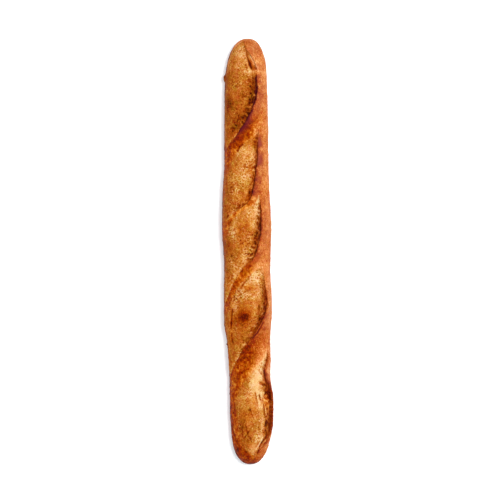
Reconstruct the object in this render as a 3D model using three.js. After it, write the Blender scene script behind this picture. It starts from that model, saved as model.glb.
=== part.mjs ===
// A baguette in one solid, in millimetres: a long loaf with round ends, a flat base, and five
// slanting cuts along its top that opened in the oven. Each cut has a thin flap of crust, its ear,
// which stands up on the +X side and leans over a groove, and a bloom, the swollen crumb that
// pushed out of the cut on the other side.
//
// Frame: +Y runs along the loaf, +X across it and +Z up. It rests on the plane z = 0, and the
// middle of its box stands over the origin.
import * as THREE from "three";

// ---- the loaf
const LENGTH = 580;
const HEIGHT_TO_WIDTH = 0.73;
const WIDEST_AT = 0.43; // height of the widest level, as a share of the loaf's height
const TIP_AT = 0.34; // height of the two tips, as a share of the loaf's height
const BASE_SINK = 3.0; // how much of the round underside the oven's stone has pressed flat
const UPPER_POWER = 2.1; // superellipse powers of the section: 2 is an ellipse, more is squarer
const LOWER_POWER = 2.7;
const END_ROUND = [58, 56]; // length of the rounding at the -Y end and at the +Y end
const END_POWER = [2.2, 2.3]; // superellipse power of that rounding, seen from above

// Place along the loaf, sideways shift of its middle line, and half of its width there.
const STATIONS = [
  [-290, 3.2, 28.5],
  [-250, 3.9, 27.5],
  [-215, 2.5, 27.1],
  [-165, 2.6, 28.0],
  [-125, 1.0, 29.4],
  [-100, -0.6, 31.8],
  [-70, -0.3, 32.7],
  [-22, -1.0, 31.3],
  [30, -1.9, 33.5],
  [85, -2.7, 31.7],
  [115, -2.2, 30.1],
  [160, -2.3, 29.9],
  [205, -2.8, 29.3],
  [250, -2.3, 27.8],
  [290, -0.6, 27.8],
];

// ---- the cuts
// Angles go round the loaf from its ridge, in degrees, positive towards +X. Each cut has the angle
// of its ear's lip, the angle of its far edge, and two sizes in millimetres, the gape of its groove
// and the lift of its ear, at the given shares of its length from its +Y end. Its hollow says how
// deep its groove is for the lift.
const SHARES = [0, 0.08, 0.2, 0.35, 0.5, 0.65, 0.8, 0.9, 1];
const CUTS = [
  {
    from: 287,
    to: 137,
    shares: SHARES,
    lip: [-20, -4, 20, 26, 26, 12, -9, -31, -64],
    far: [-30, -58, -67, -70, -72, -72, -72, -70, -64],
    gape: [3, 4, 6, 9, 13, 12, 9, 5, 3],
    lift: [0, 1.4, 2.8, 3.8, 4.2, 4.0, 3.0, 1.2, 0],
    hollow: 1,
  },
  {
    from: 171,
    to: 37,
    shares: SHARES,
    lip: [38, 31, 28, 28, 22, 16, 1, -30, -55],
    far: [38, 28, -11, -42, -60, -66, -70, -68, -55],
    gape: [3, 4, 5, 6, 8, 9, 7, 4, 3],
    lift: [0, 2.2, 3.0, 3.4, 4.0, 4.2, 3.2, 1.4, 0],
    hollow: 0.8,
  },
  {
    from: 79,
    to: -74,
    shares: [0, 0.08, 0.2, 0.35, 0.5, 0.59, 0.65, 0.8, 0.9, 1],
    lip: [31, 34, 32, 30, 21, 12, -6, -34, -50, -72],
    far: [31, 22, -32, -60, -68, -70, -72, -74, -75, -72],
    gape: [3, 5, 8, 10, 9, 7, 5, 4, 3, 3],
    lift: [0, 2.4, 4.4, 4.8, 4.2, 3.2, 2.4, 1.4, 0.7, 0],
    hollow: 0.85,
  },
  {
    from: -18,
    to: -175,
    shares: SHARES,
    lip: [41, 44, 44, 45, 30, 1, -29, -53, -80],
    far: [41, 7, -24, -51, -69, -76, -80, -82, -80],
    gape: [3, 4, 9, 11, 8, 5, 4, 3, 3],
    lift: [0, 1.2, 3.4, 4.6, 4.4, 3.0, 1.6, 0.7, 0],
    hollow: 0.8,
  },
  {
    from: -129,
    to: -281,
    shares: [0, 0.08, 0.16, 0.22, 0.29, 0.37, 0.5, 0.65, 0.8, 0.9, 1],
    lip: [54, 57, 47, 37, 46, 63, 84, 78, 57, 29, 20],
    far: [54, 44, 19, 1, -16, -32, -47, -45, -37, -27, 20],
    gape: [3, 4, 6, 8, 10, 12, 14, 14, 10, 6, 3],
    lift: [0, 2.2, 3.0, 3.2, 3.5, 4.0, 4.8, 4.4, 3.2, 1.4, 0],
    hollow: 0.5,
  },
];
const BLOOM_RISE = 2.4; // how far a wide bloom swells out of the round of the loaf
const WIDE_BLOOM = 30; // a bloom this wide, or wider, swells by all of that
const BLOOM_ENDS = [0.1, 0.1]; // shares of the cut over which its bloom rises and dies away

// The ear across its cut, for a lift of 1 mm: distance from the cut in millimetres, positive on the
// flap's side, then the shift sideways and outwards as shares of the lift. Beyond GROOVE_FOOT on the
// bloom's side the distances stand for a gape of PROFILE_GAPE, and stretch with it.
const EAR_PROFILE = [
  [-16, 0, 0],
  [-8, 0, -0.28],
  [-4.4, 0.05, -0.68],
  [-2.8, 0.22, -0.72],
  [-1.8, 0.1, -0.3],
  [-0.9, -0.6, 0.52],
  [0, -0.92, 0.8],
  [1.1, -0.8, 1],
  [3, -0.5, 0.82],
  [7, -0.18, 0.42],
  [13, -0.03, 0.1],
  [20, 0, 0],
];
const GROOVE_FOOT = -1.8;
const PROFILE_GAPE = 6;
const LIP_REACH = 0.92; // how far the lip leans over its cut, as a share of the lift

// ---- the mesh
const ROWS = 104; // between the two tips
const COLUMNS = 44;
const END_ROWS = 9; // of those rows, in each rounded end
const TOP_TO_BASE_DENSITY = 2.4; // columns are this much closer over the top than under the base
const EAR_DENSITY = 5; // and they crowd round each ear by this much more
const EAR_CROWD = 9; // within about this many degrees of it
const CROWD_ENDS = [0.1, 0.2]; // shares of a cut over which they begin and cease to crowd
const TOP_REACH = 105; // degrees each side of the ridge that count as the top
const DENSITY_STEPS = 720; // steps in which a row's density of columns is summed

// A smooth curve through points with growing x: cubic pieces whose slope at a point is that of the
// line between its two neighbours.
function smoothCurve(xs, ys) {
  const last = xs.length - 1;
  const slope = xs.map((x, i) => {
    const a = Math.max(i - 1, 0);
    const b = Math.min(i + 1, last);
    return (ys[b] - ys[a]) / (xs[b] - xs[a]);
  });
  return (x) => {
    const inside = THREE.MathUtils.clamp(x, xs[0], xs[last]);
    let i = 0;
    while (i < last - 1 && inside > xs[i + 1]) i += 1;
    const step = xs[i + 1] - xs[i];
    const t = (inside - xs[i]) / step;
    const u = 1 - t;
    return (
      u * u * (1 + 2 * t) * ys[i] +
      t * t * (3 - 2 * t) * ys[i + 1] +
      t * u * step * (u * slope[i] - t * slope[i + 1])
    );
  };
}

const pick = (table, index) => table.map((row) => row[index]);
const middleAt = smoothCurve(pick(STATIONS, 0), pick(STATIONS, 1));
const halfWidthAt = smoothCurve(pick(STATIONS, 0), pick(STATIONS, 2));

// 1 along the body of the loaf, falling to 0 at each tip as a quarter of a superellipse does.
function roundingAt(y) {
  const side = y < 0 ? 0 : 1;
  const depth = THREE.MathUtils.clamp((Math.abs(y) - LENGTH / 2) / END_ROUND[side] + 1, 0, 1);
  return (1 - depth ** END_POWER[side]) ** (1 / END_POWER[side]);
}

// A signed power, for superellipses.
const spread = (value, power) => Math.sign(value) * Math.abs(value) ** (2 / power);

// The section at y as a function of the angle: a domed top, rounder sides and a fuller underside.
function sectionPoint(y, angle) {
  const halfWidth = halfWidthAt(y);
  const height = 2 * halfWidth * HEIGHT_TO_WIDTH;
  const widest = WIDEST_AT * height;
  const upper = Math.cos(angle) > 0;
  const power = upper ? UPPER_POWER : LOWER_POWER;
  const reach = upper ? height - widest : widest + BASE_SINK;
  const rounding = roundingAt(y);
  const tip = TIP_AT * height;
  const x = halfWidth * spread(Math.sin(angle), power);
  const z = widest + reach * spread(Math.cos(angle), power);
  return new THREE.Vector2(middleAt(y) + rounding * x, tip + rounding * (z - tip));
}

// Each cut's curves against y: two angles in radians, the gape and the lift. y grows from the cut's
// end to its start.
const cuts = CUTS.map((cut) => {
  const ys = cut.shares.map((share) => THREE.MathUtils.lerp(cut.from, cut.to, share)).reverse();
  const radians = (angles) => [...angles].reverse().map(THREE.MathUtils.degToRad);
  const liftAt = smoothCurve(ys, [...cut.lift].reverse());
  return {
    ...cut,
    lipAt: smoothCurve(ys, radians(cut.lip)),
    farAt: smoothCurve(ys, radians(cut.far)),
    gapeAt: smoothCurve(ys, [...cut.gape].reverse()),
    liftAt: (y) => (y < cut.from && y > cut.to ? Math.max(0, liftAt(y)) : 0),
  };
});

const profileAcross = smoothCurve(pick(EAR_PROFILE, 0), pick(EAR_PROFILE, 1));
const profileOut = smoothCurve(pick(EAR_PROFILE, 0), pick(EAR_PROFILE, 2));

// 0 outside a cut, 1 inside it, with slopes that take the given shares of its length.
function strength(cut, y, [rise, fall]) {
  const share = (cut.from - y) / (cut.from - cut.to);
  const up = THREE.MathUtils.smoothstep(share, 0, rise);
  const down = 1 - THREE.MathUtils.smoothstep(share, 1 - fall, 1);
  return up * down;
}

// The angle of the cut itself, which lies under the lip of its ear.
function cutAngle(cut, y) {
  return cut.lipAt(y) + (LIP_REACH * cut.liftAt(y)) / halfWidthAt(y);
}

// How far one cut moves the surface at (y, angle): x is the shift sideways, y the shift outwards.
function cutShift(cut, y, angle) {
  if (y >= cut.from || y <= cut.to) return new THREE.Vector2(0, 0);
  const radius = halfWidthAt(y);
  const lip = cutAngle(cut, y);
  const slant = (radius * (cutAngle(cut, y + 1) - cutAngle(cut, y - 1))) / 2;
  const away = (radius * (angle - lip)) / Math.hypot(1, slant);
  const beyond = Math.min(0, away - GROOVE_FOOT);
  const place = away - beyond + (beyond * PROFILE_GAPE) / cut.gapeAt(y);
  const lift = cut.liftAt(y);
  const raised = profileOut(place);
  const out = raised < 0 ? raised * cut.hollow : raised;
  const width = radius * (lip - cut.farAt(y));
  const inBloom = THREE.MathUtils.clamp((angle - cut.farAt(y)) / (lip - cut.farAt(y)), 0, 1);
  const swell = BLOOM_RISE * Math.min(1, Math.max(0, width) / WIDE_BLOOM);
  const bloom = swell * Math.sin(Math.PI * inBloom) * strength(cut, y, BLOOM_ENDS);
  return new THREE.Vector2(lift * profileAcross(place), lift * out + bloom);
}

// The finished surface: the section, moved along its own tangent and normal by the cuts, and
// pressed flat where it would reach below the stone.
function surfacePoint(y, angle) {
  const nudge = 0.01; // radians
  const place = sectionPoint(y, angle);
  const tangent = sectionPoint(y, angle + nudge).sub(sectionPoint(y, angle - nudge)).normalize();
  const normal = new THREE.Vector2(-tangent.y, tangent.x);
  for (const cut of cuts) {
    const shift = cutShift(cut, y, angle);
    place.addScaledVector(tangent, shift.x).addScaledVector(normal, shift.y);
  }
  return new THREE.Vector3(place.x, y, Math.max(0, place.y));
}

// The angles of one row's columns: the sum of a density, split into equal shares. The density is
// higher over the top than under the base, and higher again round each ear.
function rowAngles(y) {
  const degreesAt = (step) => (step / DENSITY_STEPS) * 360 - 180;
  const sums = [0];
  for (let i = 0; i < DENSITY_STEPS; i += 1) {
    const angle = degreesAt(i + 0.5);
    let density = Math.abs(angle) < TOP_REACH ? TOP_TO_BASE_DENSITY : 1;
    for (const cut of cuts) {
      const away = (angle - THREE.MathUtils.radToDeg(cutAngle(cut, y))) / EAR_CROWD;
      density += EAR_DENSITY * strength(cut, y, CROWD_ENDS) * Math.exp(-away * away);
    }
    sums.push(sums[i] + density);
  }
  const angles = [];
  let i = 0;
  for (let column = 0; column < COLUMNS; column += 1) {
    const wanted = (sums[DENSITY_STEPS] * column) / COLUMNS;
    while (sums[i + 1] < wanted) i += 1;
    const part = (wanted - sums[i]) / (sums[i + 1] - sums[i]);
    angles.push(THREE.MathUtils.degToRad(degreesAt(i + part)));
  }
  return angles;
}

// Rows stand closer towards the tips, where they follow the rounding as equal angles do.
function rowPlaces() {
  const places = [];
  const bodyRows = ROWS - 2 * END_ROWS;
  const [lowEnd, highEnd] = END_ROUND;
  for (let i = 1; i <= END_ROWS; i += 1) {
    places.push(-LENGTH / 2 + lowEnd * (1 - Math.cos(((i / (END_ROWS + 1)) * Math.PI) / 2)));
  }
  for (let i = 0; i < bodyRows; i += 1) {
    const share = i / (bodyRows - 1);
    places.push(THREE.MathUtils.lerp(-LENGTH / 2 + lowEnd, LENGTH / 2 - highEnd, share));
  }
  for (let i = END_ROWS; i >= 1; i -= 1) {
    places.push(LENGTH / 2 - highEnd * (1 - Math.cos(((i / (END_ROWS + 1)) * Math.PI) / 2)));
  }
  return places;
}

// One closed skin: a ring of points at each row, and one point at each tip. A last small shift brings
// the middle of its box over the origin.
function loafGeometry() {
  const tipPoint = (y) => {
    const height = 2 * halfWidthAt(y) * HEIGHT_TO_WIDTH;
    return [middleAt(y), y, TIP_AT * height];
  };
  const positions = [tipPoint(-LENGTH / 2)];
  const places = rowPlaces();
  for (const y of places) {
    for (const angle of rowAngles(y)) positions.push(surfacePoint(y, angle).toArray());
  }
  positions.push(tipPoint(LENGTH / 2));
  const at = (row, column) => 1 + row * COLUMNS + (column % COLUMNS);
  const lastPoint = positions.length - 1;
  const faces = [];
  for (let column = 0; column < COLUMNS; column += 1) {
    faces.push([0, at(0, column + 1), at(0, column)]);
    for (let row = 0; row < places.length - 1; row += 1) {
      const corners = [at(row, column), at(row, column + 1), at(row + 1, column + 1), at(row + 1, column)];
      faces.push([corners[0], corners[1], corners[2]], [corners[0], corners[2], corners[3]]);
    }
    faces.push([lastPoint, at(places.length - 1, column), at(places.length - 1, column + 1)]);
  }
  const geometry = new THREE.BufferGeometry();
  geometry.setAttribute("position", new THREE.Float32BufferAttribute(positions.flat(), 3));
  geometry.setIndex(faces.flat());
  geometry.computeBoundingBox();
  geometry.translate(-geometry.boundingBox.getCenter(new THREE.Vector3()).x, 0, 0);
  geometry.computeVertexNormals();
  return geometry;
}

const crust = new THREE.MeshStandardMaterial({ color: 0xc07c3c, roughness: 0.62, metalness: 0 });

const loaf = new THREE.Mesh(loafGeometry(), crust);
loaf.name = "loaf";

const baguette = new THREE.Group();
baguette.add(loaf);

export default baguette;
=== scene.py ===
# %% [markdown]
# # A baguette
#
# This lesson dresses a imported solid, a baguette of one piece, as real bread. The loaf is 58 cm long
# and 7 cm wide. Five slanting cuts were made in the raw dough, and the oven opened them. Each one
# has two sides. Its *ear* is a thin flap of crust that lifted, leans over the cut and burnt along
# its lip. Its *bloom* is the crumb that pushed out beside it, matt, pale and full of small holes.
#
# The solid gives the size and the main forms. Everything finer is one skin of some hundred thousand
# points, worked out as arrays, with a few masks that tell the material where crust, bloom, burnt
# lip and pale base are.

import math
from types import SimpleNamespace

import bpy
import numpy as np
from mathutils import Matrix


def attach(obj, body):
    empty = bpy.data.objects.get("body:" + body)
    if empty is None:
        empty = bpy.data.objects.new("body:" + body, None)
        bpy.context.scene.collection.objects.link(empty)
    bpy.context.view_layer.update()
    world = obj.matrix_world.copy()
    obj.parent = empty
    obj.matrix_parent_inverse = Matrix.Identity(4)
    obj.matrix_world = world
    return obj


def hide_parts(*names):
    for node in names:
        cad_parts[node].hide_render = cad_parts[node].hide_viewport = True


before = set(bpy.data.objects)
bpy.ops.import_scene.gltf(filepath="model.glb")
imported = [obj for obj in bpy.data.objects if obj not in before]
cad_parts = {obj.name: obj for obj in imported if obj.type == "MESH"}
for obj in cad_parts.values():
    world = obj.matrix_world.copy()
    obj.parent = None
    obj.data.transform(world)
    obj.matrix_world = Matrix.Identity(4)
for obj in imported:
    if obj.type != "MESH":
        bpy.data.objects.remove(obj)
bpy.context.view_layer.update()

MM = 0.001  # the shapes are worked out in millimetres, and Blender's unit is the metre

# %% [markdown]
# ## Curves and noise
#
# Two kinds of helper make nearly every shape here. A *smooth curve* runs through a few values that
# a baker could measure with a ruler. *Noise* is a smooth random field in space. It could come from
# Blender's texture nodes, but then the mesh couldn't use it, so it is made here with numpy: random
# heights on the corners of a lattice, blended between them.


# %% Smooth curves and steps
def smooth_step(value, low, high):
    """0 below low, 1 above high, and t^2 (3 - 2 t) between them, t being the share of the way."""
    t = np.clip((value - low) / (high - low), 0, 1)
    return t * t * (3 - 2 * t)


def smooth_curve(places, heights, at):
    """Cubic pieces through points; the slope at a point is that of the line past its neighbours."""
    xs, ys = np.asarray(places, float), np.asarray(heights, float)
    slope = np.empty_like(ys)
    slope[1:-1] = (ys[2:] - ys[:-2]) / (xs[2:] - xs[:-2])
    slope[0] = (ys[1] - ys[0]) / (xs[1] - xs[0])
    slope[-1] = (ys[-1] - ys[-2]) / (xs[-1] - xs[-2])
    inside = np.clip(at, xs[0], xs[-1])
    i = np.clip(np.searchsorted(xs, inside) - 1, 0, len(xs) - 2)
    step = xs[i + 1] - xs[i]
    t = (inside - xs[i]) / step
    u = 1 - t
    ends = u * u * (1 + 2 * t) * ys[i] + t * t * (3 - 2 * t) * ys[i + 1]
    return ends + t * u * step * (u * slope[i] - t * slope[i + 1])


print("half way up a step:", smooth_step(0.5, 0, 1))


# %% Noise
def corner_value(cell, seed):
    """A random value from 0 to 1 for each lattice corner: its whole numbers, mixed bit by bit."""
    mixed = np.uint32(seed * 1013904223 % 2**32)
    for axis, prime in enumerate((374761393, 668265263, 2246822519)):
        mixed = (mixed ^ (cell[..., axis].astype(np.int64).astype(np.uint32) * np.uint32(prime)))
        mixed = (mixed ^ (mixed >> np.uint32(13))) * np.uint32(1274126177)
    return (mixed ^ (mixed >> np.uint32(16))) / np.float64(2**32)


def noise(points, cell, seed):
    """Smooth noise from -1 to 1 whose lumps are about cell wide, in the points' own unit."""
    scaled = points / cell
    base = np.floor(scaled)
    t = scaled - base
    t = t * t * (3 - 2 * t)
    total = np.zeros(points.shape[:-1])
    for corner in np.ndindex(2, 2, 2):
        weight = np.prod(np.where(corner, t, 1 - t), axis=-1)
        total += weight * corner_value(base + corner, seed)
    return 2 * total - 1


def layered_noise(points, cell, seed, layers=3):
    """Noise, plus noise of half the width and half the height, and so on, within about -1 to 1."""
    total = sum(noise(points, cell / 2**i, seed + i) / 2**i for i in range(layers))
    return total / (2 - 2 ** (1 - layers)) * 1.4


def nearest_seed(points, cell, seed):
    """Distance to the nearest of one random point per lattice cell, in cells, and that cell's value."""
    scaled = points / cell
    base = np.floor(scaled)
    nearest = np.full(points.shape[:-1], 9.0)
    value = np.zeros(points.shape[:-1])
    for step in np.ndindex(3, 3, 3):
        neighbour = base + step - 1
        place = np.stack([corner_value(neighbour, seed + i) for i in range(3)], axis=-1)
        away = np.linalg.norm(neighbour + place - scaled, axis=-1)
        closer = away < nearest
        nearest = np.where(closer, away, nearest)
        value = np.where(closer, corner_value(neighbour, seed + 7), value)
    return nearest, value


print("noise at three points:", noise(np.eye(3), 0.7, 1).round(2))

# %% [markdown]
# ## The round of the loaf
#
# A loaf could be a scaled sphere or a lathe, but a hand-rolled one bends a little, swells and thins,
# and lies on a flat base. So its section is a superellipse with a domed top and a fuller underside,
# sunk a little into the oven's stone, and its middle line and half width are two smooth curves.
# Sizes are in millimetres, the same as in the solid.

# %% Sizes of the loaf
LENGTH = 580
HEIGHT_TO_WIDTH = 0.73
WIDEST_AT = 0.43  # height of the widest level, as a share of the loaf's height
TIP_AT = 0.34  # height of the two tips, as a share of the loaf's height
BASE_SINK = 3.0  # how much of the round underside the stone has pressed flat
UPPER_POWER, LOWER_POWER = 2.1, 2.7  # 2 is an ellipse, more is squarer
END_ROUND = (58, 56)  # length of the rounding at the -Y end and at the +Y end
END_POWER = (2.2, 2.3)

# Place along the loaf, sideways shift of its middle line, and half of its width there.
STATIONS = np.array([
    (-290, 3.2, 28.5),
    (-250, 3.9, 27.5),
    (-215, 2.5, 27.1),
    (-165, 2.6, 28.0),
    (-125, 1.0, 29.4),
    (-100, -0.6, 31.8),
    (-70, -0.3, 32.7),
    (-22, -1.0, 31.3),
    (30, -1.9, 33.5),
    (85, -2.7, 31.7),
    (115, -2.2, 30.1),
    (160, -2.3, 29.9),
    (205, -2.8, 29.3),
    (250, -2.3, 27.8),
    (290, -0.6, 27.8),
])
print("widest:", 2 * STATIONS[:, 2].max(), "mm")


# %% The section
def middle_at(y):
    """x of the middle line: a smooth curve through the stations."""
    return smooth_curve(STATIONS[:, 0], STATIONS[:, 1], y)


def half_width_at(y):
    """Half of the width along the body: a smooth curve through the stations."""
    return smooth_curve(STATIONS[:, 0], STATIONS[:, 2], y)


def rounding_at(y):
    """1 along the body, falling to 0 at each tip as a quarter of a superellipse does."""
    end, power = np.where(y < 0, *END_ROUND), np.where(y < 0, *END_POWER)
    depth = np.clip((np.abs(y) - LENGTH / 2 + end) / end, 0, 1)
    return (1 - depth**power) ** (1 / power)


def section_point(y, angle):
    """x = w sin^(2/p), z = widest + reach cos^(2/p), angles from the ridge, positive towards +X."""
    half_width = half_width_at(y)
    height = 2 * half_width * HEIGHT_TO_WIDTH
    widest = WIDEST_AT * height
    upper = np.cos(angle) > 0
    power = np.where(upper, UPPER_POWER, LOWER_POWER)
    reach = np.where(upper, height - widest, widest + BASE_SINK)
    x = half_width * np.sign(np.sin(angle)) * np.abs(np.sin(angle)) ** (2 / power)
    z = widest + reach * np.sign(np.cos(angle)) * np.abs(np.cos(angle)) ** (2 / power)
    tip = TIP_AT * height
    return middle_at(y) + rounding_at(y) * x, tip + rounding_at(y) * (z - tip)


ridge_x, ridge_z = section_point(np.array([0.0]), np.array([0.0]))
print("ridge in the middle: x", ridge_x.round(1), "z", ridge_z.round(1), "mm")

# %% [markdown]
# ## The cuts
#
# Each cut is two lines over the loaf: the lip of its ear and the far edge of its bloom. Both could
# be drawn as 3-D curves, but on a long round thing it is simpler to give each line as an angle from
# the ridge, in degrees, at a few shares of the cut's length. Other rows say, at the same shares, how
# wide the groove gapes and how high the ear lifts, how burnt and how torn it is, over what width
# its lip went dark and the bloom's far edge is soft. Those widths are in millimetres. The last flap
# fell open, so one row says how much of its inner face stayed golden.
#
# Single numbers tell the cuts apart further: how hollow the groove is, and how wide the torn band
# beside it, how full of holes, ribs and strings, and how slanting those are. *toasted* is how red
# the crumb went there, *cream* how plain the pale line at the bloom's start is, *sear* how brown
# the heat made the lip, *blush* how pink the crust behind it, and *rough* how ragged the lip is, in
# millimetres. A bridge of skin spans the first cut: its middle and half length, in millimetres.

# %% The table of cuts
SHARES = [0, 0.08, 0.2, 0.35, 0.5, 0.65, 0.8, 0.9, 1]
CUTS = [
    {
        "from": 287,
        "to": 137,
        "bridge": (241, 5),
        "lip": [-20, -4, 20, 26, 26, 12, -9, -31, -64],
        "far": [-30, -58, -67, -70, -72, -72, -72, -70, -64],
        "gape": [3, 4, 6, 9, 13, 12, 9, 5, 3],
        "lift": [0, 1.4, 2.8, 3.8, 4.2, 4.0, 3.0, 1.2, 0],
        "burn": [0, 0, 0, 0.9, 0.9, 0.9, 1.0, 0.3, 0],
        "torn": [0, 0, 0, 0.3, 1, 1, 0.5, 0, 0],
        # Low on this cut the wide dark lip is also the ear's painted shadow.
        "hot_lip": [0.5, 0.5, 0.5, 0.5, 0.5, 1.2, 3.0, 2, 1],
        "soft": [2, 3, 6, 6, 6, 6, 6, 6, 3],
        "hollow": 1.0, "torn_width": 14, "holes": 1.1, "ribs": 0.45, "toasted": 0.3,
        "cream": 1.0, "sear": 0.7, "blush": 1.5, "rough": 0.8,
    },
    {
        "from": 171,
        "to": 37,
        "lip": [38, 31, 28, 28, 22, 16, 1, -30, -55],
        "far": [38, 28, -11, -42, -60, -66, -70, -68, -55],
        "gape": [3, 4, 5, 6, 8, 9, 7, 4, 3],
        "lift": [0, 2.2, 3.0, 3.4, 4.0, 4.2, 3.2, 1.4, 0],
        "burn": [0, 0, 0.3, 0.35, 0.42, 0.7, 0.1, 0, 0],
        "torn": [0, 0.3, 0.7, 1, 1, 1, 0.6, 0.2, 0],
        "hot_lip": [1, 1, 1.4, 1.6, 1.8, 1.8, 1.2, 1, 1],
        "soft": [2, 3, 5, 7, 8, 8, 8, 6, 3],
        "hollow": 0.8, "torn_width": 9, "holes": 0.7, "ribs": 0.4, "toasted": 0.9,
        "cream": 0.35, "sear": 0.63, "blush": 1.8, "rough": 0.6,
    },
    {
        "from": 79,
        "to": -74,
        "shares": [0, 0.08, 0.2, 0.35, 0.5, 0.59, 0.65, 0.8, 0.9, 1],
        "lip": [31, 34, 32, 30, 21, 12, -6, -34, -50, -72],
        "far": [31, 23, -22, -54, -66, -69, -72, -74, -75, -72],
        "gape": [3, 5, 8, 10, 9, 7, 5, 4, 3, 3],
        "lift": [0, 2.4, 4.4, 4.8, 4.2, 3.2, 2.4, 1.4, 0.7, 0],
        "burn": [0, 0.15, 0.45, 0.65, 0.45, 0.35, 0.15, 0.0, 0, 0],
        "torn": [0, 0.4, 1, 1, 1, 0.6, 0.1, 0, 0, 0],
        "hot_lip": [0.8, 0.8, 0.8, 0.8, 1, 1, 1, 1, 1, 1],
        "soft": [2, 2, 2, 4, 8, 8, 8, 8, 6, 3],
        "hollow": 0.85, "torn_width": 13, "holes": 0.9, "ribs": 0.4, "toasted": 0.3,
        "cream": 0.6, "sear": 0.66, "blush": 1.0, "rough": 0.6,
    },
    {
        "from": -18,
        "to": -175,
        "lip": [41, 44, 44, 45, 30, 1, -29, -53, -80],
        "far": [41, 7, -24, -51, -69, -76, -80, -82, -80],
        "gape": [3, 4, 9, 11, 8, 5, 4, 3, 3],
        "lift": [0, 1.2, 3.4, 4.6, 4.4, 3.0, 1.6, 0.7, 0],
        "burn": [0, 0.0, 0.15, 0.55, 0.35, 0.2, 0.1, 0, 0],
        "torn": [0, 0, 0.4, 1, 1, 0.6, 0.3, 0, 0],
        "hot_lip": [0.8, 0.8, 0.8, 0.8, 1.2, 1.2, 1, 1, 1],
        "soft": [2, 2, 2, 4, 8, 10, 8, 6, 3],
        "hollow": 0.8, "torn_width": 11, "holes": 0.7, "ribs": 0.4, "toasted": 0.8,
        "cream": 0.2, "sear": 0.6, "blush": 0.8, "rough": 0.8,
    },
    {
        "from": -129,
        "to": -281,
        "shares": [0, 0.08, 0.16, 0.22, 0.29, 0.37, 0.5, 0.65, 0.8, 0.9, 1],
        "lip": [54, 57, 47, 37, 46, 63, 84, 78, 57, 29, 20],
        "far": [54, 44, 19, 1, -16, -32, -47, -45, -37, -27, 20],
        "gape": [3, 4, 6, 8, 10, 12, 14, 14, 10, 6, 3],
        "lift": [0, 2.2, 3.0, 3.2, 3.5, 4.0, 4.8, 4.4, 3.2, 1.4, 0],
        "burn": [0, 0.1, 0.3, 0.35, 0.4, 0.44, 0.45, 0.5, 0.35, 0.2, 0],
        "torn": [0, 0.2, 0.4, 0.6, 0.9, 1, 1, 1, 0.7, 0.2, 0],
        "hot_lip": [1, 1.5, 2, 2, 2.5, 3, 2.2, 1.8, 2, 2, 1],
        "bare_face": [0, 0, 0, 0, 0, 0.3, 0.75, 0.35, 0.4, 0, 0],
        "soft": [2, 3, 4, 5, 5, 5, 5, 7, 8, 6, 3],
        "hollow": 0.5, "torn_width": 16, "holes": 0.35, "ribs": 0.35, "stringy": 0.5,
        "slant": 0.9, "toasted": 0.8, "cream": 1.0, "sear": 0.62, "blush": 0.5, "rough": 2.4,
    },
]
PLAIN_CUT = {"stringy": 0, "slant": 0.2, "bare_face": 0, "bridge": None}  # for cuts that say no more
print("cuts:", len(CUTS), "- longest", max(c["from"] - c["to"] for c in CUTS), "mm")

# %% The ear's profile
# The ear across its cut, for a lift of 1 mm: distance from the cut, positive on the flap's side,
# then the shift sideways and outwards as shares of the lift. Past GROOVE_FOOT on the bloom's side
# the distances stand for a gape of PROFILE_GAPE and stretch with it.
EAR_PROFILE = np.array([
    (-16, 0, 0),
    (-8, 0, -0.24),
    (-5.6, 0.02, -0.46),
    (-4.2, 0.08, -0.66),
    (-3.0, 0.2, -0.74),
    (-2.2, 0.26, -0.58),
    (-1.5, 0.02, -0.1),
    (-0.8, -0.52, 0.5),
    (-0.3, -0.88, 0.78),
    (0, -0.98, 0.88),
    (0.35, -0.96, 0.98),
    (1.1, -0.82, 1.02),
    (3, -0.5, 0.84),
    (7, -0.18, 0.42),
    (13, -0.03, 0.1),
    (20, 0, 0),
])
GROOVE_FOOT = -2.2
PROFILE_GAPE = 6
print("the ear's crest is", EAR_PROFILE[:, 2].max(), "of its lift, its groove", EAR_PROFILE[:, 2].min())

# %% Places in a cut
BLOOM_ENDS = (0.1, 0.1)  # shares of the cut over which its bloom rises and dies away
LIP_REACH = 0.92  # how far the lip leans over its cut, as a share of the lift
SLOPE_STEP = 4  # mm each way along the loaf over which a lip's slope is measured


def share_of(cut, y):
    """How far along the cut y is, from 0 at its start to 1 at its end."""
    return (cut["from"] - y) / (cut["from"] - cut["to"])


def along_cut(cut, key, y):
    """A row of the cut's table as a smooth curve over its length."""
    return smooth_curve(cut.get("shares", SHARES), cut[key], share_of(cut, y))


def strength(cut, y, ends=BLOOM_ENDS):
    """0 outside a cut and 1 inside it, with slopes over the given shares of its length."""
    share = share_of(cut, y)
    return smooth_step(share, 0, ends[0]) * (1 - smooth_step(share, 1 - ends[1], 1))


def line_points(y, seed):
    """Points on a line, for noise that follows y alone."""
    return np.stack([np.full_like(y, seed * 37.0), y, np.zeros_like(y)], axis=-1)


def cut_angle(cut, y):
    """The angle of the cut itself, in radians: under the lip, which the knife left a little ragged."""
    seed = CUTS.index(cut)
    ragged = 0.6 * noise(line_points(y, seed), 5.5, 11) + 0.4 * noise(line_points(y, seed), 2.6, 12)
    lean = LIP_REACH * np.clip(along_cut(cut, "lift", y), 0, None) + cut["rough"] * ragged
    return np.radians(along_cut(cut, "lip", y)) + lean / half_width_at(y)


def places_in_cut(cut, y, angle):
    """Distance from the cut, positive on its flap, share of the way over the bloom, bloom's width."""
    radius = half_width_at(y)
    lip, far = cut_angle(cut, y), np.radians(along_cut(cut, "far", y))
    turn = cut_angle(cut, y + SLOPE_STEP) - cut_angle(cut, y - SLOPE_STEP)
    slope = radius * turn / (2 * SLOPE_STEP)
    place = radius * (angle - lip) / np.hypot(1, slope)
    width = np.clip(lip - far, 1e-3, None)
    return place, np.clip((angle - far) / width, 0, 1), radius * np.clip(lip - far, 0, None)


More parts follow.
